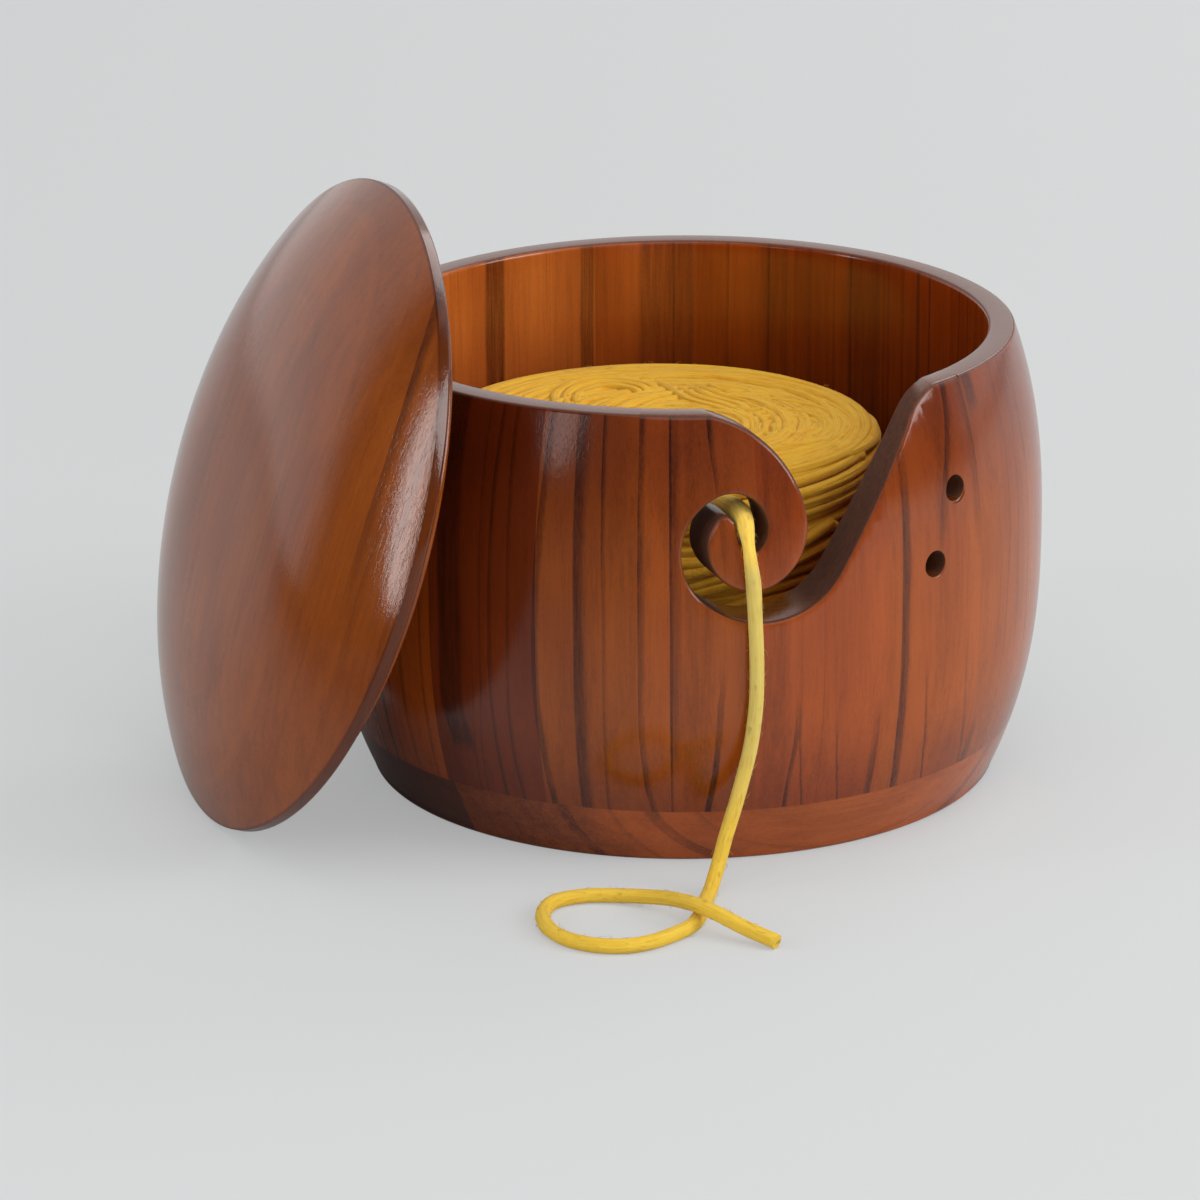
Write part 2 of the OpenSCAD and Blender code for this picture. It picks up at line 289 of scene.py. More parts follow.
tail_thickness = 0.0036
tail_route = [
    (0.0039, -0.0559, 0.0834), (0.006, -0.061, 0.085), (0.0086, -0.067, 0.0866), (0.0112, -0.0732, 0.0878),
    (0.013, -0.0788, 0.0884), (0.0142, -0.0834, 0.0882), (0.015, -0.0874, 0.0866), (0.0155, -0.0902, 0.0836),
    (0.016, -0.091, 0.0798), (0.0167, -0.0905, 0.074), (0.0171, -0.0905, 0.066), (0.0175, -0.0905, 0.0565),
    (0.0175, -0.0902, 0.047), (0.017, -0.09, 0.04), (0.016, -0.0902, 0.033), (0.0143, -0.0912, 0.026),
    (0.0123, -0.0928, 0.019), (0.0102, -0.0948, 0.0125), (0.0086, -0.097, 0.007), (0.0073, -0.0998, 0.0034),
    (0.0063, -0.104, 0.0019), (0.0052, -0.110, 0.0018), (0.0043, -0.117, 0.0018), (0.0022, -0.1246, 0.0018),
    (-0.0025, -0.1306, 0.0018), (-0.0076, -0.135, 0.0018), (-0.0135, -0.1374, 0.0018),
    (-0.021, -0.1366, 0.0018), (-0.0276, -0.1324, 0.0018), (-0.0318, -0.1252, 0.0018),
    (-0.0328, -0.1164, 0.0018), (-0.030, -0.1094, 0.0018), (-0.023, -0.106, 0.0018),
    (-0.015, -0.1064, 0.002), (-0.008, -0.1094, 0.0029), (-0.0024, -0.1146, 0.0044),
    (0.003, -0.1216, 0.0058), (0.0084, -0.1264, 0.0052), (0.0144, -0.1302, 0.0034), (0.0218, -0.1349, 0.0018)]
tail_line = smooth_line(tail_route, 6)
tail_length = sum((b - a).length for a, b in zip(tail_line, tail_line[1:]))
# On the tail the last colour is painted light that lifts the strand where the eye of the slot shades it; the
# third colour gives a deeper yellow near the floor.
tail_wool = wool("tail_wool", (0.73, 0.56, 0.15, 1), (0.64, 0.42, 0.06, 1), (1.12, 0.96, 0.42, 1),
                 0.006, 0.04, painted_eye_light=(1.32, 1.16, 0.8, 1))
# The strand is fuller where it is drawn up from the cake and over the eye, and thinner as it hangs below.
tail_swells = [1, 1.1, 1.35, 1.55, 1.6, 1.4, 1.1, 0.85, 0.92, 1.05] + [1] * (len(tail_route) - 10)
tail_swell = [p.x for p in smooth_line([(swell, 0, 0) for swell in tail_swells], 6)]
tail_strand = [(p, tail_thickness / 2 * swell) for p, swell in zip(tail_line, tail_swell)]
tail = finished("yarn_free_end", strand_mesh([tail_strand], 12), tail_wool, "root")
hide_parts("yarn_tail")
tail_hairs = strand_mesh(fluff(tail_line, tail_thickness / 2, 420, Random(2)), 4)
tail_fluff = finished("yarn_free_end_fluff", tail_hairs, tail_wool, "root")

# The bowl's wall: eighteen staves of stained and lacquered softwood with upright grain, glued edge to edge,
# turned to a barrel outside and a straight bore inside, and rounded over at the rim.
bowl_height = 0.1132
bulge_radius, bulge_height = 0.090, 0.061
rim_draw, foot_draw, fullness = 0.0077, 0.0119, 2.5
bore_radius = 0.0757
rim_round = 0.0012
base_height = 0.0145
stave_widths = [34, 32, 32, 33, 33, 33, 32, 31, 32, 33, 31, 31, 31, 31, 31, 31, 25, 29]
joint_azimuths = [11.5 + 360 * sum(stave_widths[:i]) / sum(stave_widths) for i in range(19)]


def barrel_radius(z):
    """The wall's outside radius at a height: widest at the bulge, drawn in to the rim and the foot."""
    if z > bulge_height:
        return bulge_radius - rim_draw * ((z - bulge_height) / (bowl_height - bulge_height)) ** fullness
    return bulge_radius - foot_draw * ((bulge_height - z) / bulge_height) ** fullness


def corner(x, z, radius, start, end, steps):
    """Points of an arc round a middle, from one angle to another in degrees."""
    turns = [radians(start + (end - start) * k / steps) for k in range(steps + 1)]
    return [(x + radius * cos(a), z + radius * sin(a)) for a in turns]


def profile_shape(outline, azimuth, angle, steps):
    """A solid swept round the bowl's axis by an outline of (radius, height)."""
    shape = bmesh.new()
    way = radians(azimuth - 90)
    verts = [shape.verts.new((r * cos(way), r * sin(way), z)) for r, z in outline]
    pairs = list(zip(verts, verts[1:]))
    if outline[0][0] > 0:
        pairs.append((verts[-1], verts[0]))
    edges = [shape.edges.new(pair) for pair in pairs]
    bmesh.ops.spin(shape, geom=verts + edges, cent=(0, 0, 0), axis=(0, 0, 1), angle=radians(angle),
                   steps=steps, use_merge=angle == 360)
    bmesh.ops.remove_doubles(shape, verts=shape.verts, dist=1e-6)
    rims = [edge for edge in shape.edges if edge.is_boundary]
    if rims:
        bmesh.ops.holes_fill(shape, edges=rims, sides=0)
    bmesh.ops.recalc_face_normals(shape, faces=shape.faces)
    return shape


# How far the wood's lines may run along the grain, and across it to either side, in millimetres. A ramp
# holds no number below 0, so strengths are raised by the least of them while they are in one.
grain_reach, grain_spread, least_strength = 160, 60, -0.2


def late_wood(finish, across, along, lines):
    """How dark the wood's figure is, 0 to 1, from its lines of late wood. A line stands at a place across the
    grain in millimetres, or runs through (along, across) places. It starts sharply and fades over its width,
    to the other side where the width is negative. Its strength is one number, or (along, strength) places."""
    total = 0.1
    along = along / grain_reach
    for route, width, strength, body in lines:
        if isinstance(route, list):
            stops = [(h / grain_reach, (place + grain_spread) / (2 * grain_spread)) for h, place in route]
            route = finish.ramp(along, stops, "CARDINAL") * (2 * grain_spread) - grain_spread
        shape = finish.ramp((across - route) / width, [(0, 0), (0.13, 1), (body, 0.85), (1, 0)], "EASE")
        if isinstance(strength, list):
            stops = [(h / grain_reach, level - least_strength) for h, level in strength]
            strength = finish.ramp(along, stops, "LINEAR") + least_strength
        total = total + shape * strength
    return total.held()


def stained_wood(finish, across, depth, along, latewood, light, dark, seed):
    """Colour, gloss and relief of stained, lacquered wood, from its figure and its grain's three axes."""
    grain = finish.point(across, depth, along * 0.03)
    fibres = finish.noise(grain, 2.4, seed, 3, 0.6)
    streaks = finish.noise(grain, 0.45, seed + 5, 2)
    cloud = finish.noise(finish.point(across, depth, along * 0.4), 0.05, seed + 9, 2)
    speckle = finish.noise(finish.point(across, depth, along * 0.3), 3.0, seed + 7, 2, 0.7)
    figure = (latewood + (streaks - 0.5) * 0.6 + (fibres - 0.5) * 0.7 + (speckle - 0.5) * 0.45).held()
    tone = finish.mix(figure, light, dark)
    stain = finish.mix(finish.step(cloud, 0.3, 0.7), (0.84, 0.78, 0.75, 1), (1.1, 1.12, 1.1, 1))
    peel = finish.noise(finish.point(across, depth, along * 0.6), 1.3, seed + 3, 2)
    grit = finish.noise(finish.point(across, depth, along * 0.8), 3.5, seed + 4, 2)
    height = peel + grit * 0.25 - finish.step(fibres, 0.5, 0.8) * 0.4 - figure * 0.3
    finish.set({"Roughness": 0.08 + fibres * 0.06, "Normal": finish.bump(height, 0.00002)})
    return finish.mix(1.0, tone, stain, "MULTIPLY")


def lacquer(name):
    """A finish for wood under clear lacquer."""
    return Finish(name, Specular_IOR_Level=0.45)


wall_top = bowl_height - 0.0008
wall_heights = [base_height + (wall_top - base_height) * k / 40 for k in range(41)]
wall_outline = [(barrel_radius(z), z) for z in wall_heights]
wall_outline += corner(wall_outline[-1][0] - rim_round * 0.94, bowl_height - rim_round, rim_round, 30, 90, 5)
wall_outline += corner(bore_radius + rim_round, bowl_height - rim_round, rim_round, 90, 180, 6)
wall_outline += [(bore_radius, bowl_height - 0.005 - 0.012 * k) for k in range(8)]
wall_outline += [(bore_radius, base_height)]

# The figure of the wood that shows in front and inside, in millimetres round the wall from the front: the
# line's place, its width, its strength, and the share of the width before it fades.
stave_lines = [
    ([(22, -64.2), (28, -63.2), (36, -65), (60, -64.6), (113, -66)],
     8.5, [(20, 0), (24, 0), (28, 0.9), (113, 0.95)], 0.8),
    ([(14, -55.7), (23, -55.6), (40, -54.3), (60, -54)], 0.8, [(14, 0.6), (50, 0.4), (62, 0)], 0.3),
    ([(14, -53.7), (29, -53.1), (45, -51.8), (113, -51.8)], 1.0, 0.45, 0.3),
    ([(14, -48.1), (27, -48.7), (53, -49.3), (113, -48.2)], 1.7, 0.75, 0.3),
    ([(15, -43), (31, -44.2), (76, -43.8), (113, -44.3)], 1.6, 0.65, 0.3),
    ([(14, -34.7), (20, -35.3), (45, -37.2), (80, -36.4), (113, -34.4)], 2.4, [(14, 0.8), (113, 0.6)], 0.5),
    ([(14, -26.6), (113, -26.9)], 4.4, 0.85, 0.45),
    ([(14, -19.6), (60, -19.4), (113, -20.2)],
     1.5, [(14, 0.8), (25, 0.55), (50, 0.35), (90, 0.75), (113, 0.8)], 0.3),
    ([(14, -8.2), (20, -9.5), (28, -10.3), (38, -10.9), (113, -11)],
     2.3, [(14, 0.85), (40, 0.65), (113, 0.8)], 0.35),
    ([(14, -3), (113, -3.4)], 0.8, 0.75, 0.4),
    ([(20, -3.2), (113, -3.4)], 4.2, [(24, 0), (30, 0.5), (45, 0.75), (113, 0.6)], 0.3),
    (-0.4, 9.5, 0.2, 0.7),
    ([(60, 9.9), (80, 9.4), (100, 7.4), (113, 6)],
     2.2, [(60, 0), (85, 0.25), (100, 0.5), (113, 0.85)], 0.3),
    ([(14, 5.4), (20, 6.3), (25, 7.1), (35, 7.9), (45, 8.5), (60, 9.9)],
     2, [(14, 0.95), (30, 0.8), (45, 0.4), (60, 0)], 0.7),
    (9.6, 5.4, [(28, 0), (45, -0.12), (60, -0.12), (70, 0)], 0.8),
    (19, 8.6, 0.22, 0.7),
    ([(14, 25.7), (20, 26), (25, 26.5), (30, 27.1), (36, 27.5)],
     1.6, [(14, 0.85), (25, 0.75), (36, 0.45), (44, 0)], 0.5),
    ([(14, 30.9), (21, 29.9), (28, 29.2), (35, 28.6), (66, 28.6)],
     0.9, [(14, 0.8), (28, 0.6), (40, 0.3), (66, 0.15)], 0.4),
    ([(14, 34.6), (113, 34.4)], 0.6, 0.25, 0.4),
    ([(14, 40.9), (20, 40), (25, 39.2), (35, 38.2), (50, 37.8)], 0.9, [(14, 0.8), (30, 0.5), (42, 0)], 0.4),
    (51.2, -2.8, [(14, 0.75), (24, 0.7), (34, 0.35), (42, 0)], 0.4),
    ([(14, 57.3), (22, 56.6), (30, 56), (63, 55.8), (98, 56.3)],
     3.2, [(14, 0.85), (85, 0.75), (100, 0.3)], 0.6),
    (58.9, 6.5, -0.1, 0.8),
    ([(14, 68.1), (21, 66.7), (27, 65.9), (34, 64.9), (41, 64.2), (50, 63.9)],
     1.3, [(14, 0.8), (40, 0.5), (52, 0)], 0.35),
    ([(75, 67.6), (87, 69.2), (94, 71.2), (103, 73.7), (113, 75.4)],
     3, [(72, 0), (80, 0.3), (95, 0.65), (113, 0.8)], 0.5),
    ([(70, 71), (113, 75)], -8, [(75, 0), (90, 0.25), (113, 0.3)], 0.5),
    (84, -3.4, [(62, 0), (85, 0.45), (113, 0.45)], 0.3),
    ([(14, 83.2), (22, 81.7), (30, 80.2), (40, 78.7), (52, 78)],
     1.6, [(14, 0.55), (40, 0.4), (55, 0)], 0.4),
    (84.2, 5, [(14, 0.7), (22, 0.4), (27, 0)], 0.4),
    (84.3, 6, [(102, 0), (107, 0.65), (113, 0.8)], 0.6),
    ([(14, 95), (60, 97), (113, 99)], 1.2, 0.35, 0.3),
    ([(14, 104), (60, 103), (113, 105)], 1, 0.3, 0.3),
    ([(14, 111), (113, 110)], 1.6, 0.4, 0.3),
    (199.3, 1.6, 0.6, 0.3), (212, 1.6, 0.5, 0.3), (215, 15, 0.4, 0.8), (226.8, 1.8, 0.4, 0.3),
    (233, 1, 0.4, 0.3), (241, 2.2, 0.4, 0.4), (248.2, 12.5, 0.3, 0.6), (255, 1.4, 0.5, 0.3),
    (268, 1.5, 0.45, 0.3), (297.2, -19, 0.4, 0.9), (285, 1.2, 0.3, 0.3), (310.3, 5, 0.62, 0.85),
    (325, 1, 0.15, 0.3), (341.3, 8.4, 0.68, 0.85)]
shown_staves = (1, 2, 3, 7, 8, 9, 10, 11, 16, 17, 18)
# Staves 5 to 8, inside on the right, and stave 16, outside beside the lid, have darker tones: partly their
# own wood and partly painted shade.
tan, dark_brown = (0.46, 0.113, 0.018, 1), (0.23, 0.036, 0.003, 1)
stave_tones = {1: (0.3375, 0.0645, 0.0085, 1), 2: (0.354, 0.0744, 0.0085, 1),
               5: dark_brown, 6: dark_brown, 7: dark_brown,
               8: (0.28, 0.048, 0.004, 1), 9: (0.35, 0.070, 0.009, 1), 10: tan, 11: tan,
               16: (0.17, 0.028, 0.005, 1), 17: (0.2904, 0.06384, 0.0068, 1),
               18: (0.330615, 0.070029, 0.007905, 1)}
wall_scale = bulge_radius * 1000


def stave_wood(number):
    """The wood of one stave: its share of the lines above, or lines of its own where it doesn't show."""
    chance = Random(number)
    start, end = joint_azimuths[number - 1], joint_azimuths[number]
    middle = (start + end) / 2
    half = radians(end - start) / 2 * wall_scale
    lines = []
    for route, width, strength, body in stave_lines:
        for turn in (0, 2 * pi):
            shift = (turn - radians(middle)) * wall_scale
            if isinstance(route, list):
                moved = [(h, p + shift) for h, p in route]
                places = [p for h, p in moved]
            else:
                moved = route + shift
                places = [moved]
            if min(places) + min(0, width) < half and max(places) + max(0, width) > -half:
                lines.append((moved, width, strength, body))
    if number not in shown_staves:
        at = chance.uniform(1, 4) - half
        while at < half - 1:
            route = [(14, at + chance.uniform(-1, 1)), (60, at), (113, at + chance.uniform(-0.8, 0.8))]
            lines.append((route, chance.uniform(0.9, 2.6), chance.uniform(0.3, 0.85), 0.3))
            at += chance.uniform(4, 9)
    finish = lacquer(f"stave_wood_{number:02d}")
    place = finish.node("TexCoord", {}, {}, "Object")
    turned = finish.node("Mapping", {}, {"Vector": place, "Rotation": (0, 0, -radians(middle)),
                                         "Scale": (1000, 1000, 1000)})
    x, y, z = finish.split(turned)
    depth = (x * x + y * y) ** 0.5
    angle = x.math("ARCTAN2", x, 0 - y)
    waver = finish.noise(finish.point(angle * 40, 0.0, z), 0.02, number, 1)
    across = angle * wall_scale + (waver - 0.5) * 0.8
    uneven = finish.noise(finish.point(across * 6, depth, z * 0.5), 0.15, number + 3, 2)
    latewood = late_wood(finish, across, z, lines) * (0.55 + uneven * 0.6)
    if number in stave_tones:
        light = stave_tones[number]
    else:
        redness = chance.uniform(-0.3, 0.8)
        light = (0.36 - 0.03 * redness, 0.078 - 0.018 * redness, 0.0085, 1)
    tone = stained_wood(finish, across, depth, z, latewood, light, (0.050, 0.010, 0.004, 1), number * 3.7)
    # The outside is darker towards the rim and, less, towards the foot.
    darker_ends = finish.step(z, 70, 112) + finish.step(40 - z, 0, 28) * 0.65
    darkened = finish.mix(1.0, tone, (0.56, 0.43, 0.38, 1), "MULTIPLY")
    tone = finish.mix(darker_ends * finish.step(depth, 77, 80), tone, darkened)
    # Sawn faces and the rim are darker than the turned ones, as the stain takes more deeply there; on the
    # slot's upright sawn faces the dark colour is partly painted shade.
    nx, ny, nz = finish.split(finish.node("TexCoord", {}, {}, "Normal"))
    ox, oy, oz = finish.split(place)
    facing = (nx * ox + ny * oy) * 1000 / depth
    facing = facing.math("ABSOLUTE", facing)
    rough = finish.noise(finish.point(ox, oy, oz * 0.4), 900, number, 3)
    turned_face = finish.step(facing, 0.45, 0.85)
    level_face = finish.step(nz, 0.80, 0.96)
    sawn = finish.mix(level_face, finish.mix(rough, (0.030, 0.009, 0.004, 1), (0.14, 0.042, 0.015, 1)),
                      finish.mix(rough, (0.05, 0.011, 0.004, 1), (0.19, 0.048, 0.014, 1)))
    gloss = (turned_face + level_face).held()
    finish.set({"Base_Color": finish.mix(turned_face, sawn, tone),
                "Roughness": 0.84 - gloss * 0.72 + rough * 0.07})
    return finish.material


wood_of_stave = {number: stave_wood(number) for number in range(1, 19)}
for number in range(3, 18):
    start, end = joint_azimuths[number - 1], joint_azimuths[number]
    name = f"stave_{number:02d}"
    stave = finished("turned_" + name, profile_shape(wall_outline, start, end - start, ceil(end - start)),
                     wood_of_stave[number], "root", 40)
    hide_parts(name)

# The three front staves, with the spiral slot sawn through them level and straight, its edges rounded over
# by hand, and two needle holes drilled square to the wall.
slot_azimuth = 20
edge_round = 0.0013
plate = 0.0143
needle_radius, needle_round = 0.0032, 0.0005
needle_holes = [(47.6, 0.0882), (42.4, 0.0712)]


def walk(at, facing, legs):
    """Points along arcs of (radius, turn), or (length, 0) for a straight one."""
    line = []
    for size, turn in legs:
        if turn == 0:
            at = (at[0] + size * cos(radians(facing)), at[1] + size * sin(radians(facing)))
            line.append(at)
            continue
        side = 1 if turn > 0 else -1
        x = at[0] - side * size * sin(radians(facing))
        z = at[1] + side * size * cos(radians(facing))
        first = facing - 90 * side
        line += corner(x, z, size, first, first + turn, ceil(abs(turn) / 4))[1:]
        at = line[-1]
        facing += turn
    return line


slot_top, curl_top = (0.0366, bowl_height), (-0.0216, bowl_height)
panel_left, panel_right, panel_spare = -0.046, 0.055, 0.004
across_step, level_step = 0.0025, 0.005
slot_edge = walk(slot_top, 193.9,
                 [(0.0135, 43.8), (0.0395, 0), (0.0219, -95.1), (0.0153, -116.9), (0.0079, -163.8)])
curl_edge = walk(curl_top, -16, [(0.0292, -67.9), (0.0158, -69.1), (0.0107, -157.6), (0.0029, -56)])
slot_end = [(slot_edge[-1][0] - 0.0041, slot_edge[-1][1] + 0.0022),
            (curl_edge[-1][0] + 0.0014, curl_edge[-1][1] - 0.0014)]
panel_outline = [(panel_left, base_height - panel_spare), (panel_right, base_height - panel_spare),
                 (panel_right, bowl_height), slot_top] + slot_edge + slot_end + curl_edge[::-1]
panel_outline += [curl_top, (panel_left, bowl_height)]

flat = bpy.data.curves.new("front_panel", "CURVE")
flat.dimensions = "2D"
flat.fill_mode = "BOTH"
flat.bevel_depth = edge_round
flat.bevel_resolution = 3
flat.offset = -edge_round
flat.extrude = plate / 2 - edge_round
spline = flat.splines.new("POLY")
spline.points.add(len(panel_outline) - 1)
spline.use_cyclic_u = True
for knot, (u, z) in zip(spline.points, panel_outline):
    knot.co = (u, z, 0, 1)
holder = bpy.data.objects.new("front_panel", flat)
bpy.context.scene.collection.objects.link(holder)
depsgraph = bpy.context.evaluated_depsgraph_get()
panel_mesh = bpy.data.meshes.new_from_object(holder.evaluated_get(depsgraph))
bpy.data.objects.remove(holder)
panel = bmesh.new()
panel.from_mesh(panel_mesh)
bmesh.ops.remove_doubles(panel, verts=panel.verts, dist=1e-6)
across_cuts = [((panel_left + across_step * k, 0, 0), (1, 0, 0)) for k in range(41)]
level_cuts = [((0, base_height + level_step * k, 0), (0, 1, 0)) for k in range(20)]
for at, facing in across_cuts + level_cuts:
    bmesh.ops.bisect_plane(panel, geom=panel.verts[:] + panel.edges[:] + panel.faces[:], dist=1e-7,
                           plane_co=at, plane_no=facing)
for vert in panel.verts:
    u, z, d = vert.co
    outside = -sqrt(barrel_radius(min(z, bowl_height)) ** 2 - u * u)
    inside = -sqrt(bore_radius ** 2 - u * u)
    if d > plate / 2 - edge_round - 1e-6:
        y = outside + (plate / 2 - d)
    elif d < edge_round - plate / 2 + 1e-6:
        y = inside - (d + plate / 2)
    else:
        y = inside + (outside - inside) * (d + plate / 2) / plate
    vert.co = (u, y, z)
bmesh.ops.rotate(panel, verts=panel.verts, cent=(0, 0, 0),
                 matrix=Matrix.Rotation(radians(slot_azimuth), 3, "Z"))
bmesh.ops.recalc_face_normals(panel, faces=panel.faces)


def cut_away(shape, at, facing):
    """Cuts off what lies beyond a plane, on the side that it faces."""
    bmesh.ops.bisect_plane(shape, geom=shape.verts[:] + shape.edges[:] + shape.faces[:], dist=1e-7,
                           plane_co=at, plane_no=facing, clear_outer=True)
    rims = [edge for edge in shape.edges if edge.is_boundary]
    bmesh.ops.holes_fill(shape, edges=rims, sides=0)


def drilled(shape, azimuth, z):
    """The shape with a needle hole drilled through it, its outer edge eased."""
    surface = barrel_radius(z)
    outline = [(0, bore_radius - 0.004), (needle_radius, bore_radius - 0.004)]
    outline += corner(needle_radius + needle_round, surface - needle_round, needle_round, 180, 90, 4)
    outline += [(needle_radius + 1.3 * needle_round, surface + 0.003), (0, surface + 0.003)]
    drill = profile_shape(outline, 0, 360, 48)
    lie_down = Matrix.Rotation(radians(90), 4, "Y")
    turn = Matrix.Rotation(radians(azimuth - 90), 4, "Z")
    bmesh.ops.transform(drill, verts=drill.verts, matrix=Matrix.Translation((0, 0, z)) @ turn @ lie_down)
    pair = []
    for part in (shape, drill):
        mesh = bpy.data.meshes.new("drilling")
        part.to_mesh(mesh)
        pair.append(bpy.data.objects.new("drilling", mesh))
        bpy.context.scene.collection.objects.link(pair[-1])
    hole = pair[0].modifiers.new("hole", "BOOLEAN")
    hole.operation = "DIFFERENCE"
    hole.object = pair[1]
    shape.clear()
    shape.from_mesh(pair[0].evaluated_get(bpy.context.evaluated_depsgraph_get()).to_mesh())
    for part in pair:
        bpy.data.objects.remove(part)


for number in (18, 1, 2):
    start, end = [radians(joint_azimuths[i] % 360) for i in (number - 1, number)]
    part = panel.copy()
    cut_away(part, (0, 0, base_height), (0, 0, -1))
    cut_away(part, (0, 0, 0), (-cos(start), -sin(start), 0))
    cut_away(part, (0, 0, 0), (cos(end), sin(end), 0))
    if number == 2:
        for azimuth, z in needle_holes:
            drilled(part, azimuth, z)
    stave = finished(f"turned_stave_{number:02d}", part, wood_of_stave[number], "root", 25)
    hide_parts(f"stave_{number:02d}")
panel.free()

# The base: three boards glued edge to edge with level grain, turned to the barrel's curve, with a small
# rounding where it stands on the table. Their growth rings run round lines well outside them.
foot_round = 0.0015
base_grain, base_joint = 30, 0.0267
base_outline = [(0, 0)] + corner(barrel_radius(foot_round) - foot_round, foot_round, foot_round, 270, 360, 5)
base_heights = [foot_round + (base_height - foot_round) * k / 8 for k in range(1, 9)]
base_outline += [(barrel_radius(z), z) for z in base_heights]
base_outline += [(0, base_height)]


def strip(shape, left, right, direction):
    """Keeps what lies between two planes across a direction in the level plane."""
    side = Vector((cos(radians(direction)), sin(radians(direction)), 0))
    if right is not None:
        cut_away(shape, side * right, side)
    if left is not None:
        cut_away(shape, side * left, -side)


def ring_wood(name, turn, shift, pith, rings, light, dark, seed, waver=1.6, edge=1000):
    """Board wood whose growth rings run round a pith line, in millimetres in the board's own axes. Outside
    the radius of edge it is stained darker."""
    finish = lacquer(name)
    place = finish.node("TexCoord", {}, {}, "Object")
    turned = finish.node("Mapping", {"vector_type": "TEXTURE"}, {
        "Vector": place, "Location": shift, "Rotation": turn, "Scale": (0.001, 0.001, 0.001)})
    x, y, z = finish.split(turned)
    sway = finish.noise(finish.point(x, y * 0.25, z), 0.03, seed, 2)
    out = ((x - pith[0]) ** 2 + (z - pith[1]) ** 2) ** 0.5 + (sway - 0.5) * waver
    figure = late_wood(finish, out, y + 80, rings)
    tone = stained_wood(finish, x, z, y, figure, light, dark, seed)
    outer = finish.step((x * x + y * y) ** 0.5, edge - 0.5, edge + 0.2)
    tone = finish.mix(outer, tone, finish.mix(1.0, tone, (0.45, 0.4, 0.4, 1), "MULTIPLY"))
    finish.set({"Base_Color": tone})
    return finish.material


base_rings = {
    1: ((-20, -60), [(52 + 7 * k, 3, 0.5, 0.3) for k in range(8)]),
    2: ((5, -50), [(40 + 6 * k, 2.6, 0.5, 0.3) for k in range(8)]),
    3: ((104.5, 16), [(19.5, 1.1, 0.7, 0.3), (20.5, 6, 0.18, 0.6), (30, 1.2, 0.2, 0.3), (35, 2.4, 0.4, 0.8),
                      (38, 120, 0.55, 0.95), (42, 1.4, 0.2, 0.3), (50, 3, 0.2, 0.5)])}
turning_steps = 144
base_blank = profile_shape(base_outline, 0, 360, turning_steps)
base_sides = [(None, -base_joint), (-base_joint, base_joint), (base_joint, None)]
for number, (left, right) in enumerate(base_sides, 1):
    shape = base_blank.copy()
    strip(shape, left, right, base_grain - 90)
    pith, rings = base_rings[number]
    # Boards 1 and 2, on the lid's side, are far darker than board 3: partly darker stained wood and partly
    # painted shade from the lid.
    wood = ring_wood(f"base_wood_{number}", (0, 0, radians(base_grain - 90)), (0, 0, 0), pith, rings,
                     (0.38, 0.080, 0.012, 1) if number == 3 else (0.075, 0.016, 0.005, 1),
                     (0.05, 0.010, 0.004, 1), 40 + number * 3.1)
    board = finished(f"turned_base_{number:02d}", shape, wood, "root", 40)
    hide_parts(f"base_board_{number:02d}")

# The lid: five boards glued edge to edge, turned to a low dome with a thin edge and a step below that drops
# into the bore. It stands on its edge and leans on the rim.
lid_radius, step_radius = 0.0811, 0.0750
dome_height, lid_edge, dome_fullness, lid_round, step_height = 0.0207, 0.0031, 3.1, 0.001, 0.0035
lid_side, lid_lean, lid_gap = 201.5, 18.6, 0.0003
lid_boards = 5


def dome(r):
    """The height of the lid's upper face at a radius."""
    return lid_edge + (dome_height - lid_edge) * (1 - (r / lid_radius) ** dome_fullness)


lid_outline = [(0, -step_height)]
lid_outline += corner(step_radius - lid_round, lid_round - step_height, lid_round, 270, 360, 4)
lid_outline += [(step_radius, 0)] + corner(lid_radius - lid_round, lid_round, lid_round, 270, 360, 5)
dome_radii = [lid_radius * cos(radians(90 * k / 32)) for k in range(32)]
lid_outline += [(r, dome(r)) for r in dome_radii] + [(0, dome_height)]
lean = radians(lid_lean)
lid_up = max(r * cos(lean) - h * sin(lean) for r, h in lid_outline)
barrel_reach = max(r * cos(lean) + z * sin(lean) for r, z in wall_outline)
lid_out = (barrel_reach + lid_gap + step_height - lid_up * sin(lean)) / cos(lean)
lid_place = (Matrix.Rotation(radians(lid_side + 90), 4, "Z") @ Matrix.Translation((0, -lid_out, lid_up))
             @ Matrix.Rotation(radians(90) - lean, 4, "X"))
lid_turn = lid_place.to_euler()
lid_width = 2 * lid_radius / lid_boards
lid_rings = [(110.5, 5, 0.08, 0.5), (113.6, 1.6, 0.10, 0.3), (121.2, 1.2, -0.1, 0.6), (122.6, 3, 0.12, 0.3),
             (124, 6, 0.08, 0.5), (130, 1.4, 0.12, 0.3),
             (135.6, 2.8, [(60, 0), (90, 0.35), (120, 0.6), (160, 0.65)], 0.4), (139, 3, 0.15, 0.4),
             (144, 1.6, [(60, 0), (100, 0.4), (160, 0.4)], 0.3), (148, 2, 0.15, 0.3)]
lid_blank = profile_shape(lid_outline, 90, 360, turning_steps)
for number in range(1, lid_boards + 1):
    shape = lid_blank.copy()
    strip(shape, None if number == 1 else -lid_radius + (number - 1) * lid_width,
          None if number == lid_boards else -lid_radius + number * lid_width, 0)
    bmesh.ops.transform(shape, verts=shape.verts, matrix=lid_place)
    wood = ring_wood(f"lid_wood_{number}", tuple(lid_turn), tuple(lid_place.translation), (0, 130), lid_rings,
                     (0.240, 0.052, 0.004, 1), (0.055, 0.011, 0.003, 1), 60, 2.5,
                     lid_radius * 1000 - 0.3)
    board = finished(f"turned_lid_{number:02d}", shape, wood, "lid", 40)
    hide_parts(f"lid_board_{number:02d}")

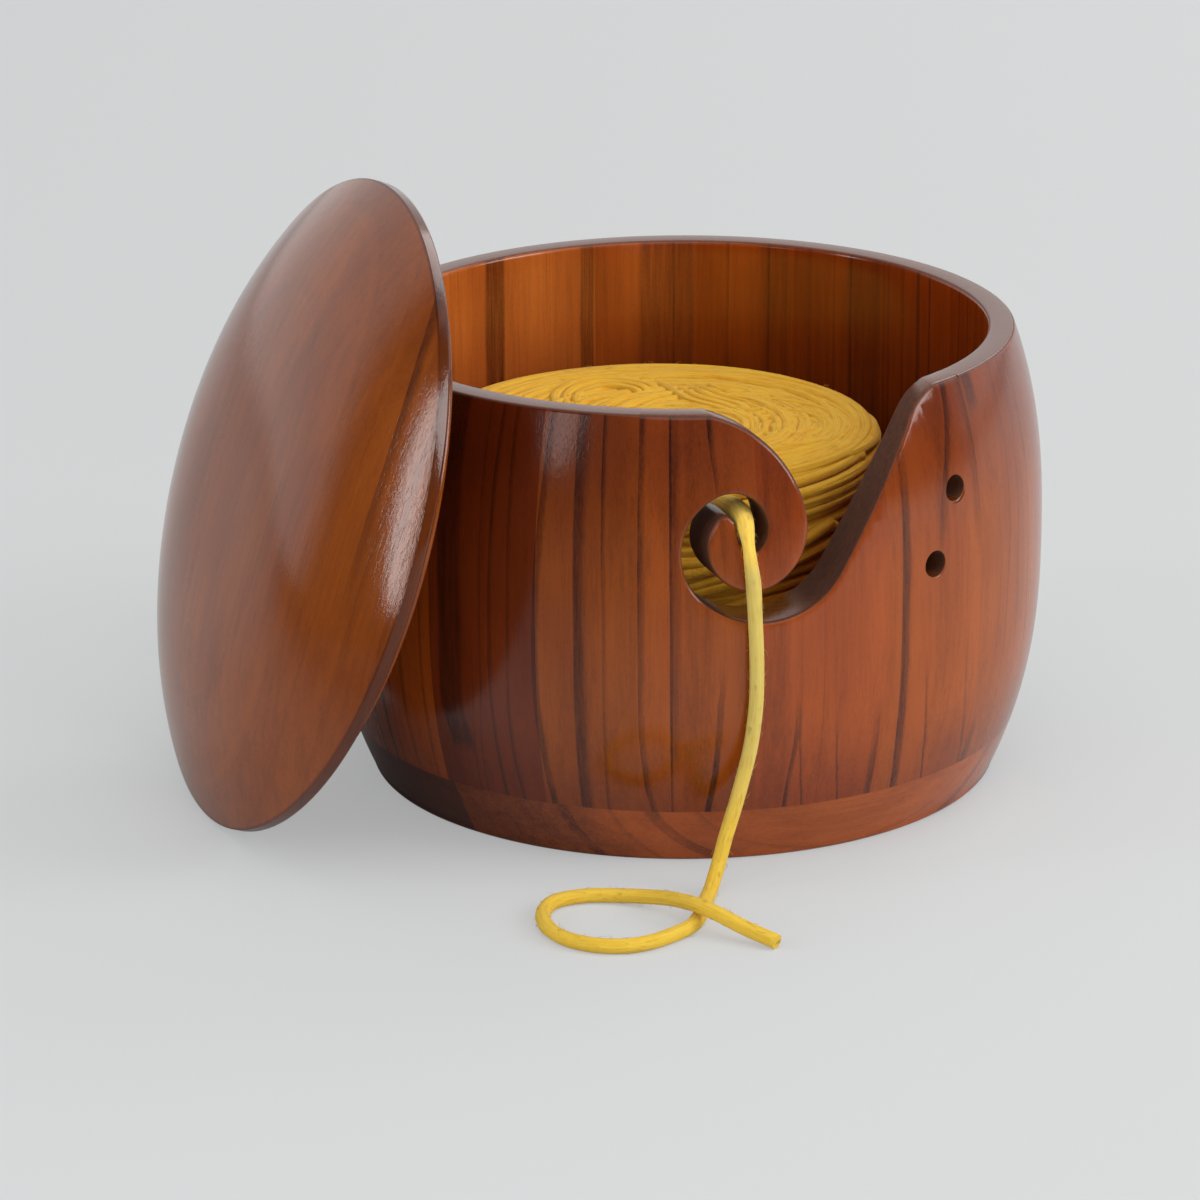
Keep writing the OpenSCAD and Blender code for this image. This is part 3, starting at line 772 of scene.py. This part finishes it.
# The cake of yarn: one long strand wound by machine, up the side and in over the top, loosely and not quite
# evenly, round a heart of the same wool. The last turns close on a whorl right of the middle.
from mathutils import noise

cake_radius, cake_axis = 0.0585, -0.008
cake_low, cake_top = 0.0148, 0.087
strand = 0.0030
side_turns, top_turns, upper_turns = 42, 25, 21
whorl = Vector((0.0305, -0.004, 0))


def wander(place, seed, size):
    """A smooth, uneven shift of a strand, by how far along it is."""
    return size * noise.noise(Vector((place, seed * 7.3, 0.5)))


def lower_turn(turn):
    """The strand's middle on the side and in over the top, after so many turns."""
    out = cake_radius - strand / 2 - 0.0006
    bend = 0.0055
    low = cake_low + strand / 2
    high = cake_top - strand / 2 - 0.0003
    side = high - bend - low
    if turn < side_turns:
        length = side * turn / side_turns
    else:
        length = side + (turn - side_turns) / top_turns * (bend * pi / 2 + out - bend - 0.002)
    if length < side:
        r, z = out, low + length
        slope = 0.003 * sin(2 * pi * turn + 0.5 * turn)
        z = max(low, z + slope * min(1, (side - length) / 0.008))
    elif length < side + bend * pi / 2:
        b = (length - side) / bend
        r, z = out - bend + bend * cos(b), high - bend + bend * sin(b)
    else:
        r, z = out - bend - (length - side - bend * pi / 2), high
    a = 2 * pi * turn
    r += wander(turn * 2.2, 1, 0.0012) - 0.0004
    z += wander(turn * 2.6, 2, 0.0012)
    shift = (1 - r / out) * 0.35
    return Vector((cake_axis + (whorl.x - cake_axis) * shift + r * cos(a), whorl.y * shift + r * sin(a), z))


def upper_turn(turn):
    """The strand's middle in the loose turns that close on the whorl."""
    share = 1 - turn / upper_turns
    r = 0.0022 + (0.0525 - 0.0022) * share ** 0.9
    a = 2 * pi * turn + 2.2
    middle = whorl.lerp(Vector((cake_axis + 0.002, 0, 0)), share ** 0.9)
    z = cake_top - strand / 2 - 0.0002
    r += wander(turn * 1.9, 3, 0.0022)
    return Vector((middle.x + r * cos(a), middle.y + r * sin(a), z + wander(turn * 3.1, 4, 0.0012)))


chance = Random(4)
around = 60
lower = [lower_turn(k / around) for k in range((side_turns + top_turns) * around)]
upper = [upper_turn(k / around) for k in range(upper_turns * around)]
# Two folds lie over the turns behind the whorl: an arch, and a sheaf that comes down to the front beside it.
arch_middle, arch_reach, arch_gap = (-0.0185, 0.0215), 0.0140, 0.0027
sheaf = [((-0.0110, 0.0440, 0.0844), (0.0030, -0.0006)), ((-0.0052, 0.0340, 0.0856), (0.0029, 0)),
         ((-0.0022, 0.0265, 0.0862), (0.0028, 0.0006)), ((0.0008, 0.0205, 0.0863), (0.0027, 0.0012)),
         ((0.0058, 0.0160, 0.0860), (0.0023, 0.0019)), ((0.0118, 0.0102, 0.0856), (0.0018, 0.0024)),
         ((0.0160, 0.0030, 0.0842), (0.0012, 0.0026))]
folds = []
for k in range(3):
    reach = arch_reach - arch_gap * k
    arch = []
    for i in range(11):
        a = radians(205 - 21 * i)
        z = cake_top - 0.0015 + 0.0009 * sin(pi * i / 10) - 0.0016 * (i > 8)
        arch.append((arch_middle[0] + reach * cos(a), arch_middle[1] + reach * sin(a) * 1.15, z))
    folds.append(smooth_line(arch, 4))
for k in range(5):
    folds.append(smooth_line([(x + across * k, y + back * k, z) for (x, y, z), (across, back) in sheaf], 8))

# Loose strands cross the turns at a slant: sixteen on the top and nine round the side.
cross = []
for k in range(16):
    middle = whorl.lerp(Vector((cake_axis, 0, 0)), chance.uniform(0.2, 1))
    r = chance.uniform(0.018, 0.048)
    start, sweep = chance.uniform(0, 2 * pi), chance.uniform(0.7, 2.2)
    turn_in = chance.uniform(-0.006, 0.006)
    arc = []
    for i in range(25):
        t = i / 24
        a = start + sweep * t
        reach = min(r + turn_in * (t - 0.5) * 2, 0.053 - (middle - Vector((cake_axis, 0, 0))).length * 0.85)
        arc.append(Vector((middle.x + reach * cos(a), middle.y + reach * sin(a),
                           cake_top - 0.0030 + 0.0013 * sin(pi * t))))
    cross.append(arc)
for k in range(9):
    start, low = chance.uniform(-2.6, 0.3), chance.uniform(0.030, 0.062)
    rise, sweep = chance.uniform(0.008, 0.018), chance.uniform(0.8, 1.6)
    cross.append([Vector((cake_axis + (cake_radius - strand * 0.42) * cos(start + sweep * i / 24),
                          (cake_radius - strand * 0.42) * sin(start + sweep * i / 24),
                          low + rise * i / 24)) for i in range(25)])


def swelled(line, seed):
    """The line with the radius of a strand that is loosely spun, so that it swells and thins."""
    return [(p, strand / 2 * (1 + wander(k * 0.11, seed, 0.35))) for k, p in enumerate(line)]


# On the cake the third colour is painted shade: the lower side is darkened up to a height that rises towards
# the right, where the slot's wall shades the wool.
cake_wool = wool("cake_wool", (0.78, 0.44, 0.040, 1), (0.66, 0.25, 0.012, 1), (0.50, 0.27, 0.12, 1),
                 0.036, 0.055, 0.8)
strands = [swelled(line, k) for k, line in enumerate([lower, upper] + folds + cross)]
hairs = fluff(lower[side_turns * around * 2 // 3:], strand / 2, 1100, chance)
hairs += fluff(upper, strand / 2, 900, chance)
winding = finished("cake_turns", strand_mesh(strands, 8), cake_wool, "yarn_cake")
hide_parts("yarn_winding")
cake_fluff = finished("cake_fluff", strand_mesh(hairs, 4), cake_wool, "yarn_cake")
heart_radius, heart_top, heart_round = cake_radius - strand * 0.8, cake_top - 0.004, 0.010
heart_outline = [(0, cake_low), (heart_radius, cake_low)]
heart_outline += corner(heart_radius - heart_round, heart_top - heart_round, heart_round, 0, 90, 6)
heart_outline += [(0, heart_top)]
shape = profile_shape(heart_outline, 0, 360, 96)
bmesh.ops.translate(shape, verts=shape.verts, vec=(cake_axis, 0, 0))
heart = finished("cake_heart", shape, cake_wool, "yarn_cake", 50)
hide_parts("yarn_core")

# The studio: a sheet of pale paper under six soft lamps, with bright walls behind the bowl and a dark room
# behind the camera, which the lacquer mirrors. Half of what the camera sees of the paper is its own glow,
# which keeps the shadows on it pale.
from mathutils import Quaternion

floor_shape = bmesh.new()
bmesh.ops.create_circle(floor_shape, cap_ends=True, radius=6, segments=96)
floor_mesh = bpy.data.meshes.new("floor")
floor_shape.to_mesh(floor_mesh)
floor_shape.free()
floor = bpy.data.objects.new("floor", floor_mesh)
bpy.context.scene.collection.objects.link(floor)
floor_finish = Finish("floor_paper", Roughness=0.8, Specular_IOR_Level=0.1)
x, y, z = floor_finish.split(floor_finish.node("TexCoord", {}, {}, "Object"))
mirrored = floor_finish.node("LightPath", {}, {}, "Is Glossy Ray")
far = (x * x + y * y) ** 0.5
far_off = floor_finish.step(far, 0.25, 1.6)
room_edge = floor_finish.step(far, 0.6, 1.3) * (1 - floor_finish.step((y + x * 0.05) / far, 0.14, 0.36))
dark_room = floor_finish.step(0 - y - x * 0.6, 0.10, 0.45)
dark_room = dark_room.math("MAXIMUM", dark_room, room_edge) * mirrored
far_paper = floor_finish.mix(mirrored, (0.80, 0.81, 0.81, 1), (0.98, 0.98, 0.98, 1))
paper = floor_finish.mix(far_off, (0.62, 0.63, 0.63, 1), far_paper)
seen = floor_finish.node("LightPath", {}, {}, "Is Camera Ray")
paper = floor_finish.mix(dark_room, paper, (0.16, 0.16, 0.16, 1))
floor_finish.set({"Base_Color": floor_finish.mix(seen * 0.5, paper, (0, 0, 0, 1)), "Emission_Strength": 1.0,
                  "Emission_Color": floor_finish.mix(seen, (0, 0, 0, 1), (0.345, 0.350, 0.352, 1))})
floor.data.materials.append(floor_finish.material)


def soft_box(name, place, aim, width, height, power, shape="RECTANGLE", roll=0):
    """An area lamp at a place, turned to its aim and rolled about its own axis by degrees."""
    data = bpy.data.lights.new(name, "AREA")
    data.shape = shape
    data.size, data.size_y, data.energy = width, height, power
    lamp = bpy.data.objects.new(name, data)
    lamp.location = place
    way = (Vector(aim) - Vector(place)).to_track_quat("-Z", "Y") @ Quaternion((0, 0, 1), radians(roll))
    lamp.rotation_euler = way.to_euler()
    bpy.context.scene.collection.objects.link(lamp)
    return lamp


soft_box("strip_left", (-0.98, -0.345, 0.48), (-0.06, -0.10, 0.10), 0.15, 0.74, 2.1, "ELLIPSE", roll=18)
soft_box("umbrella", (-0.764, -0.930, 0.53), (0, 0, 0.10), 0.22, 0.58, 0.80, "ELLIPSE")
soft_box("overhead", (0.25, -0.45, 1.40), (0, 0, 0.05), 1.3, 1.1, 5.5)
soft_box("box_right", (1.25, -0.37, 0.74), (0, 0, 0.05), 0.70, 0.70, 9)
soft_box("fill", (0.45, -1.35, 0.45), (0, 0, 0.05), 0.8, 0.6, 3.0).visible_glossy = False
soft_box("box_back", (0.70, 1.00, 1.00), (0, 0, 0.05), 0.7, 0.7, 4)

world = bpy.data.worlds.new("surround")
bpy.context.scene.world = world
world.use_nodes = True
surround = Nodes(world.node_tree.nodes)
background = world.node_tree.nodes["Background"]
x, y, z = surround.split(surround.node("TexCoord", {}, {}, "Generated"))
behind = surround.step(y + x * 0.05, 0.14, 0.36)
mirrored = surround.node("LightPath", {}, {}, "Is Glossy Ray")
seen = surround.node("LightPath", {}, {}, "Is Camera Ray")
level = surround.node("Mix", {}, {0: mirrored, 2: 0.50, 3: 0.10 + behind * 0.85})
feed(background.inputs["Strength"], surround.node("Mix", {}, {0: seen, 2: level, 3: 0.68}))
background.inputs["Color"].default_value = (0.97, 0.99, 1, 1)
